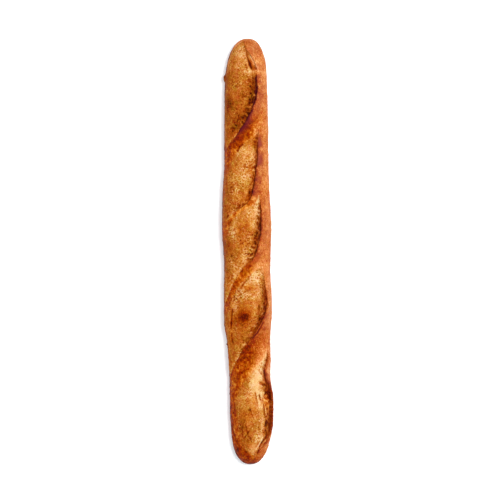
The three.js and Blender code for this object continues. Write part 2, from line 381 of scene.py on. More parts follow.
half_way = [np.array([(cut["from"] + cut["to"]) / 2]) for cut in CUTS]
lips = [float(np.degrees(cut_angle(cut, y))[0]) for cut, y in zip(CUTS, half_way)]
print("angles of the cuts, half way along each:", [round(angle) for angle in lips])

# %% [markdown]
# ## Rows and columns
#
# The skin is a grid: rows along the loaf and columns round it. Evenly spaced columns would smear
# the thin lips, so the columns crowd where the detail is. Each row has a *density*, high over the
# top, higher round each lip and low under the base. Its running sum, split into equal shares, gives
# the columns' angles, and because the density changes smoothly from row to row, so do they.

# %% The rows
ROWS = 524
END_ROWS = 60  # of the rows, in each rounded end


def row_places():
    """Even rows along the body, and rows that follow each end's rounding as equal angles do."""
    turn = np.arange(1, END_ROWS + 1) / (END_ROWS + 1) * math.pi / 2
    low = -LENGTH / 2 + END_ROUND[0] * (1 - np.cos(turn))
    high = LENGTH / 2 - END_ROUND[1] * (1 - np.cos(turn))
    body = np.linspace(-LENGTH / 2 + END_ROUND[0], LENGTH / 2 - END_ROUND[1], ROWS - 2 * END_ROWS)
    return np.concatenate([low, body, high[::-1]])


Y = row_places()[:, None]
print("rows: from", round(float(Y[0, 0]), 2), "to", round(float(Y[-1, 0]), 2), "mm")

# %% The columns
COLUMNS = 190
TOP_REACH = 105  # degrees each side of the ridge that count as the top
TOP_EDGE = 12  # degrees over which the top's density falls to that of the base
TOP_DENSITY = 2.6  # against 1 under the base
LIP_DENSITY = 7.0
LIP_CROWD = 6.0  # degrees round a lip within which columns crowd
CROWD_ENDS = (0.06, 0.1)  # shares of the cut over which they start and stop crowding
DENSITY_STEPS = 1440


def column_angles(y):
    """The running sum of each row's density, inverted at equal shares by one interpolation."""
    edges = np.linspace(-180, 180, DENSITY_STEPS + 1)
    middles = (edges[1:] + edges[:-1]) / 2
    top = smooth_step(TOP_REACH + TOP_EDGE / 2 - np.abs(middles), 0, TOP_EDGE)
    density = np.ones((len(y), 1)) * (1 + (TOP_DENSITY - 1) * top)
    for cut in CUTS:
        away = (middles - np.degrees(cut_angle(cut, y))) / LIP_CROWD
        density += LIP_DENSITY * strength(cut, y, CROWD_ENDS) * np.exp(-away * away)
    sums = np.concatenate([np.zeros((len(y), 1)), np.cumsum(density, axis=1)], axis=1)
    row = np.arange(len(y))[:, None]
    shares = row + sums / sums[:, -1:] * (1 - 1e-9)  # so that a row ends before the next starts
    wanted = row + np.arange(COLUMNS) / COLUMNS
    flat = np.interp(wanted.ravel(), shares.ravel(), np.tile(edges, len(y)))
    return np.radians(flat.reshape(len(y), COLUMNS))


ANGLE = column_angles(Y)
print("grid:", ANGLE.shape, "triangles:", 2 * ANGLE.size)

# %% [markdown]
# ## Masks
#
# The relief and the material both ask the same questions of a point: is it bloom or crust, how near
# is it to a lip, is it one of the torn holes beside the lip? Each answer is a mask, an array from 0
# to 1 over the grid. Every cut is measured over the whole grid once, and a small function for each
# mask turns the measures into an answer. Where two cuts overlap, the stronger one gives it.

# %% The grid as points of the plain loaf
SECTION_X, SECTION_Z = section_point(Y, ANGLE)
SKIN = np.stack([SECTION_X, np.broadcast_to(Y, ANGLE.shape), SECTION_Z], axis=-1)
DEGREES = np.degrees(ANGLE)
FACING_UP = smooth_step(np.cos(ANGLE), -0.1, 0.1)
NUDGE = 0.01  # radians
AHEAD, BEHIND = section_point(Y, ANGLE + NUDGE), section_point(Y, ANGLE - NUDGE)
TANGENT = np.stack([AHEAD[0] - BEHIND[0], AHEAD[1] - BEHIND[1]], axis=-1)
TANGENT /= np.linalg.norm(TANGENT, axis=-1, keepdims=True)
NORMAL = np.stack([-TANGENT[..., 1], TANGENT[..., 0]], axis=-1)
wander = layered_noise(SKIN, 8, 21)  # bends the edges of the masks
flicker = noise(SKIN, 3.2, 25)  # makes burnt lines uneven
print("plain loaf:", SKIN.min((0, 1)).round(1), "to", SKIN.max((0, 1)).round(1), "mm")

# %% Each cut, measured over the grid
CUT_ENDS = (0.03, 0.04)  # shares of a cut over which it starts and stops
CURVES = ("far", "gape", "lift", "burn", "torn", "hot_lip", "soft")


def measured(cut):
    """A cut's single numbers, its curves row by row, and the distances to it over the grid in mm."""
    at = SimpleNamespace(**{**PLAIN_CUT, **cut}, cut=cut)
    for key in CURVES:
        setattr(at, key, along_cut(cut, key, Y))
    if at.bare_face:
        at.bare_face = along_cut(cut, "bare_face", Y)
    at.share = share_of(cut, Y)
    at.inside = (at.share > 0) & (at.share < 1)
    at.live = strength(cut, Y, CUT_ENDS) * at.inside
    at.place, at.across, at.width = places_in_cut(cut, Y, ANGLE)
    at.open_here = 1
    if at.bridge:
        middle, half_length = at.bridge
        spans = np.exp(-(((Y - middle) / half_length) ** 4))
        at.open_here = 1 - 0.9 * spans * (1 - smooth_step(at.place, 1.5, 7))
    at.lift = np.clip(at.lift, 0, None) * at.inside * at.open_here
    at.scorch = np.clip(at.burn * (1 + 0.5 * flicker + 0.3 * wander), 0, 1) * at.live * at.open_here
    at.hot = np.minimum(1, 3 * at.scorch)
    return at


def strongest(mask_of):
    """At each point, the largest of what the cuts give there, and at least 0."""
    return np.maximum.reduce([mask_of(at) for at in MEASURED], axis=0, initial=0)


MEASURED = [measured(cut) for cut in CUTS]
print("widest bloom:", round(max(float(at.width.max()) for at in MEASURED), 1), "mm round the loaf")


# %% Ears and blooms
BLOOM_RISE = 2.4  # how far a wide bloom swells out of the round of the loaf
WIDE_BLOOM = 30  # a bloom this wide, or wider, swells by all of that


def ear_shifts(at):
    """Lift times the ear's profile, read at the distance from the cut and stretched to the gape."""
    beyond = np.minimum(0, at.place - GROOVE_FOOT)
    reach = at.place - beyond + beyond * PROFILE_GAPE / at.gape
    sideways = smooth_curve(EAR_PROFILE[:, 0], EAR_PROFILE[:, 1], reach)
    raised = smooth_curve(EAR_PROFILE[:, 0], EAR_PROFILE[:, 2], reach)
    return at.lift * sideways, at.lift * raised * np.where(raised < 0, at.hollow, 1)


def swell(at):
    """An arch over the bloom: its rise times sin(pi * share of the way across)."""
    rise = BLOOM_RISE * np.minimum(1, at.width / WIDE_BLOOM) * strength(at.cut, Y) * at.inside
    return rise * np.sin(math.pi * at.across)


def in_bloom(at):
    """Crumb that shows: 1 from the bloom's soft far edge to the cut."""
    edge = smooth_step(at.across * at.width + 0.35 * at.soft * wander, 0, at.soft)
    return edge * smooth_step(-at.place, -0.1, 0.5) * at.live


shift_along = sum(ear_shifts(at)[0] for at in MEASURED)
shift_out = sum(ear_shifts(at)[1] + swell(at) for at in MEASURED)
bloom = strongest(in_bloom)
SEEN_X = SECTION_X + shift_along * TANGENT[..., 0] + shift_out * NORMAL[..., 0]
print("bloom covers", round(float(bloom.mean()), 3), "of the grid")


# %% Along the edges of a bloom
def past_far_edge(at):
    """Distance round the loaf from the bloom's far edge, positive on the bloom's side."""
    return half_width_at(Y) * (ANGLE - np.radians(at.far))


def pale_crust(at):
    """Crust within some 6 mm of the start of a bloom, which pales."""
    beside = np.exp(-((np.clip(-past_far_edge(at), 0, None) / 6) ** 2)) * (at.place < 0)
    return beside * (1 - smooth_step(at.share, 0.15, 0.4)) * at.live


def cream_lines(at):
    """Two thin pale lines: where the bloom starts, and where it meets the late part of the lip."""
    opening = 1 - smooth_step(at.share, 0.15, 0.3)
    closing = smooth_step(at.share, 0.6, 0.75)
    at_far = np.exp(-(((past_far_edge(at) - 0.8 - 1.5 * wander) / 1.3) ** 2)) * opening * at.cream
    at_foot = np.exp(-(((at.place + at.lift + 2.2 + 1.2 * wander) / 1.6) ** 2)) * closing
    return (at_far + 0.4 * at_foot) * at.live * (at.place < 0)


def crust_behind_late_lip(at):
    """Crust within some 6 to 18 mm behind the late part of a lip, made darker."""
    rose = smooth_step(at.place, 0, 1.5) * (1 - smooth_step(at.place + 3 * wander, 6, 18))
    return rose * smooth_step(at.share, 0.5, 0.75) * at.inside


def gold_down_the_side(at):
    """Stretched crust that goes on from a wide bloom down the side and ends raggedly low down."""
    reaches_side = smooth_step(-at.far + 6 * wander, 55, 64) * at.live
    side = smooth_step(-DEGREES, 50, 70) * smooth_step(DEGREES + 14 * wander, -122, -94)
    side *= 1 - smooth_step(-DEGREES, 74, 90) * (1 - strength(at.cut, Y + 12 * wander, (0.2, 0.35)))
    return reaches_side * side * smooth_step(-at.place, 0, 3)


paler = strongest(pale_crust)
cream = strongest(cream_lines)
darker = strongest(crust_behind_late_lip)
golden = np.maximum(strongest(gold_down_the_side), bloom)
print("golden crumb and crust:", round(float(golden.mean()), 3), "of the grid")


# %% Heat
def lip_and_shaded_slit(at):
    """1 on the lip, over its hot width, and in the slit under it as painted shade, save where the
    flap's face stayed bare.
    """
    on_top = np.exp(-((np.clip(at.place + 0.4 * wander, 0, None) / at.hot_lip) ** 2))
    foot = smooth_step(at.place + at.lift + 1.3 + wander, 0, 1.8) * (at.place < 0)
    face = smooth_step(at.place, -3.4, -2.6) * smooth_step(-at.place, 0.15, 0.6)
    return np.maximum(on_top * smooth_step(at.place, -1.4, 0), foot * (1 - at.bare_face * face))


def toasted_crumb(at):
    """Crumb within some 5 mm of a hot slit."""
    by_slit = smooth_step(at.place + at.lift + 5.5 + 1.5 * wander, 0, 3.5) * (at.place < 0)
    return at.toasted * by_slit * at.hot


def blushed_crust(at):
    """Crust within some 6 mm of a hot lip."""
    near_lip = np.exp(-((np.clip(at.place, 0, None) / 6.5) ** 2)) * (at.place > 0)
    return at.blush * near_lip * at.hot * (0.6 + 0.8 * wander)


# On the lip these are burnt and seared crust; in the slit under the lip they are painted shade, black
# where burnt and dark red where seared.
burnt = strongest(lambda at: at.scorch**2 * lip_and_shaded_slit(at))  # black
seared_and_slit_shade = strongest(lambda at: at.hot * lip_and_shaded_slit(at))  # dark red, before it burns
toasted = strongest(toasted_crumb)
reddened = np.clip(strongest(blushed_crust), 0, 2)
# In the slit, this bake is painted shade as well as searing.
sear_bake = np.full(ANGLE.shape, 0.62)  # how brown searing made the lip and, a little less, the slit
for at in MEASURED:
    sear_bake = np.where(np.abs(at.place) < 20, at.sear - 0.1 * (at.place < 0), sear_bake)
print("seared:", round(float(seared_and_slit_shade.mean()), 3), "of the grid")


# %% Torn crumb
def torn_band(at):
    """A ragged band beside the ear, wider where the cut tore more."""
    wide = at.torn_width * np.minimum(1, 2 * at.torn + 0.1)
    band = smooth_step(at.place + 1.8 * wander, -wide, -0.55 * wide) * (at.place < 0)
    return band * np.clip(at.torn, 0, 1) * at.live * at.open_here


def threads(at):
    """Noise drawn out across the band, in lumps or, where it is stringy, in thin strings."""
    along = (Y + at.slant * at.place) / 3.0 + 0.4 * wander
    drawn = np.stack([at.place / 11, along, np.full(ANGLE.shape, 7.0)], axis=-1)
    plain = layered_noise(drawn, 1, 26, 2)
    strings = 0.7 - 2.4 * np.abs(noise(drawn, 1, 26)) + 0.4 * noise(drawn, 0.5, 27)
    return plain + (strings - plain) * at.stringy


torn = strongest(torn_band)
holed = strongest(lambda at: torn_band(at) * at.holes)
deep = strongest(lambda at: torn_band(at) * smooth_step(at.place, -at.gape, -0.45 * at.gape))
ribs = np.zeros(ANGLE.shape)
for at in MEASURED:
    ribs = np.where(torn_band(at) > 0.02, at.ribs * threads(at), ribs)
print("torn crumb:", round(float(torn.mean()), 3), "of the grid")

# %% [markdown]
# ## Relief
#
# Low lumps make the crust look hand-made. The bloom is rougher: crumb cells that burst leave lumps
# and a web of thin walls, and beside each lip they tore into holes. What the eye finds at once on a
# loaf, a crack, a strand across a slit, a blister or a deep pit, has a place of its own here, as a
# line or a spot in millimetres seen from above. The rest is scattered by noise.

# %% Creases and strands with a place of their own
# points x, y along it; half width; depth in mm, a raised strand if negative; how much browner, which in
# a deep crease is painted shade and on a raised strand painted light
CREASES = [
    # the first cut: cracks before and in its opening, and the thin lip beside that
    ([(-5.4, 284), (-3.2, 275), (-0.8, 266)], 0.7, 0.7, 0.25),
    ([(-1.4, 265), (0.2, 259), (3.2, 249), (5.6, 245)], 0.8, 1.0, 0.4),
    ([(4.6, 261), (8.0, 254.5), (9.8, 249)], 0.9, -0.3, -0.3),
    ([(-14, 226), (-9, 219), (-7, 212)], 0.7, 0.4, 0.1),
    # the second: the edges of its bloom, and the crest of the strip after it
    ([(-9, 170), (-15.8, 157.6), (-26.7, 141)], 0.6, -0.3, -0.16),
    ([(-7.5, 144), (-11.5, 140.5), (-14, 135)], 0.9, 0.9, 0.35),
    ([(12.5, 75), (3, 66.5), (-9, 57), (-22, 46)], 1.6, -0.6, -0.08),
    ([(-27, 49), (-27.7, 46)], 1.0, 0.7, 0.45),
    # the fourth: cracks where its bloom starts, slits on its left side, and its late slit
    ([(4, -31), (-1, -37.5), (-5, -42.5), (-9.5, -49)], 0.9, 1.0, 0.35),
    ([(-10, -49.5), (-3, -46.5), (4, -46), (8, -45)], 0.7, 0.4, 0.1),
    ([(-9, -62), (-2, -54), (5, -48)], 0.8, 0.3, 0.08),
    ([(-21.3, -78), (-22.6, -94), (-22.9, -103)], 0.8, 1.1, 0.5),
    ([(-22.3, -110), (-21.4, -118), (-20.3, -125)], 0.7, 0.9, 0.35),
    ([(-17.8, -92), (-16.8, -108)], 0.7, 0.4, 0.15),
    ([(20.8, -95), (17.5, -101), (13.2, -108.5), (5.7, -116.3)], 1.0, 1.2, 0.6),
    # the fifth: strands and gaps where its flap tore away
    ([(13.6, -187.6), (18.4, -195.8), (23.1, -202), (28.5, -201.3)], 0.7, -0.9, -0.4),
    ([(12.4, -189), (13, -196), (15.6, -205.4)], 0.8, -0.6, -0.4),
    ([(17.7, -190.4), (22.4, -198.6), (26.5, -204)], 0.6, -0.7, -0.35),
    ([(10.6, -193), (13.3, -208.7)], 0.7, 0.5, 0.22),
    ([(15, -193), (16.6, -199.5)], 0.8, 0.9, 0.5),
    ([(19.7, -193.8), (24.5, -200)], 0.6, 0.6, 0.3),
    ([(22.6, -206.5), (24.6, -221)], 0.6, -0.6, -0.3),
    ([(29.6, -206), (30.2, -222)], 0.9, -0.7, -0.4),
    ([(21.2, -206), (22.6, -222)], 0.6, 1.0, 0.4),
    ([(2.8, -211.9), (5, -219), (8.5, -226.7)], 0.6, 0.6, 0.32),
    ([(27.2, -247.7), (16.6, -260), (13.6, -272)], 0.9, 0.9, 0.45),
    ([(20.7, -248.8), (16, -258), (11, -266.8)], 1.0, -0.4, -0.4),
    ([(29.3, -249.7), (22, -257), (14.9, -266.1)], 1.1, -0.9, -0.25),
    ([(25.6, -258.3), (15.9, -267.5)], 0.6, 0.6, 0.3),
    # cracks across the last bloom, which cross near the end of the loaf
    ([(-4, -226), (-8, -238), (-7, -250)], 0.6, 0.5, 0.25),
    ([(-3, -234), (0, -247), (5, -256)], 0.6, 0.6, 0.3),
    ([(5, -236), (-1, -246), (-9, -256)], 0.6, 0.6, 0.28),
    ([(-20, -240), (-10, -262), (4, -270)], 0.8, 0.4, -0.12),
    ([(-24, -232), (-15, -259), (-2, -271)], 1.1, 0.5, 0.15),
]
print(len(CREASES), "creases and strands")

# %% Blisters, flakes and pits with a place of their own
# x, y, half width, half length, turn in degrees, edge (1 soft, 3 crisp), height in mm, how much
# browner, which in hollows and holes is painted shade
BLISTERS = [
    # the big dark blister, and a flake that stands up on the left side
    (-5.5, -89, 6.5, 7.5, 0, 1, 0.9, 0.42),
    (-6, -91, 11, 13, 0, 1, 0.4, 0.14),
    (-28.7, -126.2, 1.3, 1.4, 0, 1, 1.4, 0.9),
    # the first cut's opening: its hollow, strands across it, its pale lip and the bridge's foot
    (2.8, 253.0, 1.5, 7.5, 22, 2, -1.6, 0.45),
    (3.4, 262.0, 1.0, 2.4, 25, 2, 1.3, -0.35),
    (5.0, 258.4, 0.9, 3.2, 25, 2, 1.2, -0.4),
    (8.8, 252.0, 1.8, 8.0, 25, 2, 1.0, -0.2),
    (0.2, 248.5, 1.0, 5.5, 20, 2, 0.5, -0.25),
    (3.2, 244.0, 3, 2.6, 0, 1, 0.7, -0.3),
    # hollows in the fourth bloom
    (14.8, -76, 1.2, 4.4, 0, 1, -0.8, 0.45),
    (1, -108, 2.2, 4, -40, 1, -0.5, 0.15),
    # holes along the fifth ear
    (24.6, -185.6, 1.2, 1.5, 0, 1, -1.0, 0.5),
    (24, -192, 1.4, 1.4, 0, 1, -1.0, 0.5),
    (28.6, -203.3, 1.2, 1.4, 0, 1, -1.0, 0.5),
    (23.4, -207.6, 1.1, 1.3, 0, 1, -0.8, 0.4),
    (26, -212.8, 1.1, 1.6, 0, 1, -1.0, 0.5),
    (2.5, -213, 1.6, 2.6, 0, 1, -0.8, 0.35),
    (26.4, -220.1, 1.1, 1.6, 0, 1, -1.0, 0.45),
    (24.8, -232.3, 1.6, 4.2, 0, 1, -1.5, 0.8),
    (24, -243, 1.5, 3, 0, 1, -1.0, 0.2),
]
# x, y and half width of the deepest pits: in the first bloom, the second and the third
PITS = [
    (3.3, 222, 1.3), (3.5, 213, 1.1), (2.7, 204, 1.4), (2, 200, 1.2),
    (11, 152, 1.1), (9.5, 140, 1.1), (4, 90, 1.1), (2, 80, 1.3), (3, 71, 1.2),
    (13, 39.6, 1.1), (12.1, 27.7, 1.1), (10.3, 20.7, 1.2), (9.5, 17.7, 1.2), (-0.6, 17.7, 1.0),
    (-10.3, 14.6, 0.9), (9.1, 13.4, 1.1), (-7.0, 11.3, 0.9), (-9.8, 10.4, 0.9), (10.3, 10.1, 1.1),
    (5.8, 6.4, 1.3), (0.6, -3, 1.5), (-3.3, -3, 1.2), (-22.2, -6, 1.2),
]
# A pit's browning is painted shade in it.
PIT_SHAPE = (20, 1.5, -1.2, 0.42)  # turn, edge, height and browner, as for a blister
SIDE_BUMP = {"y": 235.4, "half_length": 4.8, "angle": -86, "half_angle": 9, "height": 2.4}
print(len(BLISTERS), "blisters,", len(PITS), "pits")


# %% Raising and browning them
def from_line(line):
    """Distance from every point of the grid, seen from above, to a broken line."""
    nearest = np.full(ANGLE.shape, 1e3)
    for (ax, ay), (bx, by) in zip(line[:-1], line[1:]):
        length = (bx - ax) ** 2 + (by - ay) ** 2
        t = np.clip(((SEEN_X - ax) * (bx - ax) + (Y - ay) * (by - ay)) / length, 0, 1)
        nearest = np.minimum(nearest, np.hypot(SEEN_X - ax - t * (bx - ax), Y - ay - t * (by - ay)))
    return nearest


def spot(x, y, half_width, half_length, turn=0, edge=1):
    """exp(-(u^2 + v^2)^edge), u and v being distances from its middle in half widths and lengths."""
    c, s = math.cos(math.radians(turn)), math.sin(math.radians(turn))
    dx, dy = SEEN_X - x, Y - y
    u, v = (dx * c + dy * s) / half_width, (dy * c - dx * s) / half_length
    return np.exp(-((u * u + v * v) ** edge)) * FACING_UP


# The marks raise or sink the skin and change its colour: darker in creases, pits and hollows as painted
# shade, paler on raised strands as painted light, browner on the blisters.
marks_out = np.zeros(ANGLE.shape)
marks_brown_and_shade = np.zeros(ANGLE.shape)
spanning = np.zeros(ANGLE.shape)  # strands that still span a slit
for line, half, depth, browner in CREASES:
    near = np.exp(-(((from_line(line) + 0.5 * half * flicker) / half) ** 2)) * FACING_UP
    marks_out -= depth * near
    marks_brown_and_shade += browner * near
    spanning = np.maximum(spanning, near * (depth < 0))
long_pits = [(x, y, half, 1.2 * half, *PIT_SHAPE) for x, y, half in PITS]
for *place_and_size, height, browner in BLISTERS + long_pits:
    near = spot(*place_and_size)
    marks_out += height * near
    marks_brown_and_shade += browner * near
bump_u = (Y - SIDE_BUMP["y"]) / SIDE_BUMP["half_length"]
bump_v = (DEGREES - SIDE_BUMP["angle"]) / SIDE_BUMP["half_angle"]
side_bump = np.exp(-(bump_u**4 + bump_v**2))
marks_out += SIDE_BUMP["height"] * side_bump
print("marks from", round(float(marks_out.min()), 2), "to", round(float(marks_out.max()), 2), "mm")


# %% Crumb cells, threads and holes
def patches(table):
    """The sum of the soft spots in a table, each times its weight."""
    return sum(weight * spot(*place) for *place, weight in table)


# x, y, half width, half length, turn in degrees, how smooth the crumb stayed there
SMOOTH = [
    (9, -34, 9, 13, -30, 0.4),
    (4, -46, 12, 6, -10, 0.7),
    (11, -170, 9, 18, -20, 0.3),
    (0, -262, 15, 10, 0, 0.9),
]
stretched = SKIN * (1, 0.88, 1)
warped = stretched + 2.0 * np.stack([noise(stretched, 6, seed) for seed in (71, 72, 73)], axis=-1)
thread = np.clip(1.8 * noise(SKIN, 15, 45) - 0.05, -1, 1)  # threads stand up, cracks lie deep
web = thread * (1 - 2 * np.abs(layered_noise(warped, 3.6, 33)))
fine_web = thread * (1 - 2 * np.abs(noise(warped, 1.8, 36)))
on_left = smooth_step(-DEGREES, 28, 52) * FACING_UP  # crumb that stretched, so that it is smoother
rough = 0.3 + 0.7 * smooth_step(layered_noise(SKIN, 14, 35, 2) + 1.2 * torn, -0.4, 0.5)
rough *= (1 - 0.45 * on_left) * (1 - np.clip(patches(SMOOTH), 0, 1))
streaks = noise(SKIN * (1, 0.22, 1), 2.6, 46)
crumb = rough * (0.45 * web + 0.3 * fine_web) + 0.7 * noise(SKIN, 11, 38) + 0.25 * on_left * streaks
hole_far, hole_value = nearest_seed(warped, 4.0, 41)
holes = smooth_step(0.36 + 0.3 * hole_value - hole_far, 0, 0.36) * (hole_value > 0.2)
pits_far, pits_value = nearest_seed(SKIN, 3.6, 51)
pits = smooth_step(0.42 - pits_far, 0, 0.3) * (pits_value > 0.7) * rough
print("torn holes cover", round(float((holed * holes).mean()), 3), "of the grid")

# %% The whole relief
lumps = 0.5 * noise(SKIN, 48, 31) + 0.35 * layered_noise(SKIN, 15, 32) + 0.2 * noise(SKIN, 4.5, 37)
blister_far, blister_value = nearest_seed(SKIN, 5.0, 61)
blisters = smooth_step(0.5 - blister_far, 0, 0.5) * (blister_value > 0.5)
wrinkles = layered_noise(SKIN * (1, 0.4, 1), 5, 49, 2)
relief = lumps + marks_out + bloom * crumb + (1 - bloom) * (0.4 * blisters + 0.25 * wrinkles)
relief += 1.8 * torn * ribs - 1.7 * holed * holes - 0.7 * bloom * pits
print("relief from", round(float(relief.min()), 2), "to", round(float(relief.max()), 2), "mm")

# %% [markdown]
# ## The skin
#
# Each point of the section moves along the section's own tangent and normal, and whatever would
# reach below the stone is pressed flat. One more point closes each tip.

# %% Moving the points
CALM_END = 8  # mm before each tip over which the relief dies away


def finished_points():
    """Section point + tangent * sideways shift + normal * (outward shift + relief), z at least 0."""
    ends = smooth_step(LENGTH / 2 - np.abs(Y), 0, CALM_END)
    moved = shift_along[..., None] * TANGENT + (shift_out + relief * ends)[..., None] * NORMAL
    x = SECTION_X + moved[..., 0]
    z = np.maximum(0, SECTION_Z + moved[..., 1])
    return np.stack([x, np.broadcast_to(Y, x.shape), z], axis=-1)


points = finished_points()
tips = [
    [float(middle_at(y)), y, 2 * float(half_width_at(y)) * HEIGHT_TO_WIDTH * TIP_AT]
    for y in (-LENGTH / 2, LENGTH / 2)
]
print("skin box in mm:", points.min((0, 1)).round(1), points.max((0, 1)).round(1))


# %% The mesh
def skin_faces(rows, columns):
    """Quads between rows, whose columns close on themselves, and a fan of triangles at each tip."""
    at = np.arange(rows * columns).reshape(rows, columns)
    turned = np.roll(at, -1, axis=1)
    quads = np.stack([at[:-1], turned[:-1], turned[1:], at[1:]], axis=-1).reshape(-1, 4)
    low, high = rows * columns, rows * columns + 1
    fan_low = np.stack([np.full(columns, low), turned[0], at[0]], axis=-1)
    fan_high = np.stack([np.full(columns, high), at[-1], turned[-1]], axis=-1)
    return quads.tolist() + fan_low.tolist() + fan_high.tolist()


def make_piece(name, vertices_mm, faces, masks):
    """A mesh object at the origin, shaded smooth, with one point attribute for each mask."""
    mesh = bpy.data.meshes.new(name)
    mesh.from_pydata(np.asarray(vertices_mm) * MM, [], faces)
    mesh.polygons.foreach_set("use_smooth", np.ones(len(mesh.polygons), bool))
    for key, values in masks.items():
        layer = mesh.attributes.new(key, "FLOAT", "POINT")
        layer.data.foreach_set("value", np.asarray(values, np.float32))
    mesh.update()
    piece = bpy.data.objects.new(name, mesh)
    bpy.context.scene.collection.objects.link(piece)
    return piece


def with_tips(mask):
    """The mask's values row by row, and the tips' own: the mean of the rows beside them."""
    return np.concatenate([mask.ravel(), [mask[0].mean(), mask[-1].mean()]])


print("faces:", len(skin_faces(*ANGLE.shape)))

# %% [markdown]
# ## How brown each place is
#
# Baking turns dough from cream to gold, then red-brown, then nearly black. So one mask, *bake*, from
# 0 to 1, and one row of colours for crust and one for crumb give every tint of the loaf. The strips
# of old crust between the cuts took the most heat, the side that rose last is golden, and the bloom
# is pale where it opened late. No oven heats a loaf evenly, so soft patches, each with a place and a
# size in millimetres, make each bloom and strip a little paler or browner here and there.

# %% Paler and browner patches on the crumb
# x, y, half width, half length, turn in degrees, how much paler or browner
BLOOM_PATCHES = [
    # the first bloom: pale at its start and by the bridge, brown along its slit and at its low end
    (-10, 264, 7, 16, 12, -0.16),
    (-24, 262, 7, 16, 0, 0.05),
    (9, 246, 1.6, 7, 22, -0.2),
    (1, 240, 6, 6, 0, -0.3),
    (-19, 228, 6, 8, 0, 0.1),
    (2.5, 211, 5, 15, -6, 0.22),
    # painted shade with browner crumb down the left side, away from the lamp
    (-26, 205, 6, 45, 0, 0.15),
    (-24.4, 199, 4.5, 8, 0, 0.2),
    (-19, 194, 5, 7, 0, 0.1),
    (3, 194, 4, 5, 0, -0.15),
    (-14, 190, 11, 20, 0, 0.1),
    (-17.5, 186, 5, 7, 0, -0.1),
    # the first ear's painted shadow, low beside its slit
    (-6, 181, 5, 13, -28, 0.15),
    (-10, 171, 8, 8, -30, 0.2),
    (-18, 163, 5, 9, -30, 0.12),
    # the second: brown where it starts and on the left, pale in its middle
    (0, 150, 8, 7, -20, 0.1),
    (9, 138, 3, 12, 0, 0.14),
    (6, 126, 5, 16, 0, -0.2),
    (-3, 120, 9, 28, 0, -0.2),
    # painted shade with browner crumb down the left side, away from the lamp
    (-26, 90, 7, 40, 0, 0.08),
    (-3, 80, 4, 7, 0, -0.1),
    # the third: a very pale tip, browner in its middle and on the left, pale at its low end
    (13, 62, 4, 13, -6, -0.45),
    (5, 50, 6, 8, 0, -0.15),
    (5, 36, 4, 5, 0, -0.16),
    (-20, 34, 8, 15, 0, -0.1),
    (-21, 30, 6, 20, 0, -0.1),
    (8, 17, 4, 9, -8, 0.12),
    (0, 12, 9, 14, 0, 0.14),
    # painted shade with browner crumb down the left side, away from the lamp
    (-28, 10, 7, 60, 0, 0.12),
    (7, -5, 4, 5, 0, 0.4),
    (-3, -10, 6, 9, -30, -0.15),
    (-2, -17, 5, 6, -40, -0.15),
    (-19, -38, 6, 12, -20, -0.06),
    (-10, -58, 5, 12, -25, -0.07),
    (-17, -62, 5, 14, -20, -0.15),
    # the fourth: pale at its start, then patchy
    (19, -28, 2.5, 7, 0, -0.2),
    (9, -34, 8, 12, -30, -0.3),
    (15, -40, 5, 9, 0, -0.05),
    (-3, -46, 6, 5, 0, -0.14),
    (11, -50, 7, 9, 0, -0.14),
    (2, -59, 9, 7, 0, 0.06),
    (19.5, -60, 2.5, 8, 0, 0.15),
    (8, -80, 3.5, 9, 0, -0.14),
    (-17, -81, 4, 8, 0, -0.1),
    (-12, -130, 6, 12, -30, 0.06),
    (-21, -144, 4, 7, -20, 0.1),
    (-13, -150, 5, 9, -30, -0.12),
    # the fifth: cream over its first third, pale along the torn edge, browner on the left and low down
    (19, -144, 5, 12, -12, -0.4),
    (12, -172, 8, 17, -20, -0.5),
    (15, -178, 6, 12, 0, -0.1),
    (-20, -182, 5, 9, 0, 0.1),
    (27.5, -189, 2.5, 7, 0, 0.08),
    (21, -190, 4, 8, -30, -0.14),
    (5, -195, 9, 18, 0, -0.12),
    (14, -196, 1.2, 9, 6, -0.3),
    (18, -207, 5, 15, 0, -0.26),
    (4, -216, 9, 14, 0, -0.1),
    (0, -216, 5, 8, 0, 0.1),
    (25.6, -231, 2, 5, 0, 0.15),
    (-8, -236, 8, 16, 0, 0.12),
    (21, -239, 2.5, 5, 0, -0.1),
    (18, -241, 2.0, 13, -10, -0.24),
    (12, -252, 4, 13, -10, -0.18),
    (-12, -264, 8, 7, 30, 0.2),
    (6, -266, 4, 7, 0, -0.1),
    (5, -272, 5, 6, 0, -0.14),
]
print(len(BLOOM_PATCHES), "patches on the crumb")

# %% Paler, browner and redder patches on the crust
CRUST_PATCHES = [
    # the +Y end and the side where the ears stand
    (10, 270, 10, 12, 0, 0.04),
    (9.5, 247, 4.5, 11, 10, -0.36),
    (20, 246, 9, 12, 0, -0.12),
    (8.5, 205, 4, 8, 0, -0.06),
    (16, 90, 3, 22, 0, 0.08),
    (14, -21, 4, 6, 0, -0.12),
    (24, -65, 8, 30, 0, -0.1),
    (20, -118, 5, 12, -20, 0.06),
    (26, -165, 3, 14, 0, -0.2),
    # the strips between the blooms
    (-24, 134, 7, 18, -10, 0.14),
    (2, 66, 9, 8, -30, -0.13),
    (-10, 60, 7, 16, -47, -0.2),
    (10, -9, 5, 10, -25, 0.08),
    (-2, -17, 5, 6, -40, -0.2),
    (-4, -27, 8, 14, -40, -0.08),
    (13, -118, 9, 20, -22, 0.22),
    (-6, -130, 10, 26, -25, 0.12),
    (8, -148, 4, 6, -30, -0.1),
    (-15.6, -155, 4, 6, 0, -0.2),
    (2, -162, 5, 5, 0, -0.12),
    # the left side and the -Y end
    (-20, -220, 5, 32, 0, 0.12),
    (-17, -256, 5, 8, 30, 0.12),
    (-13, -268, 9, 6, 30, 0.2),
    (5, -276, 5, 4, 0, -0.15),
]
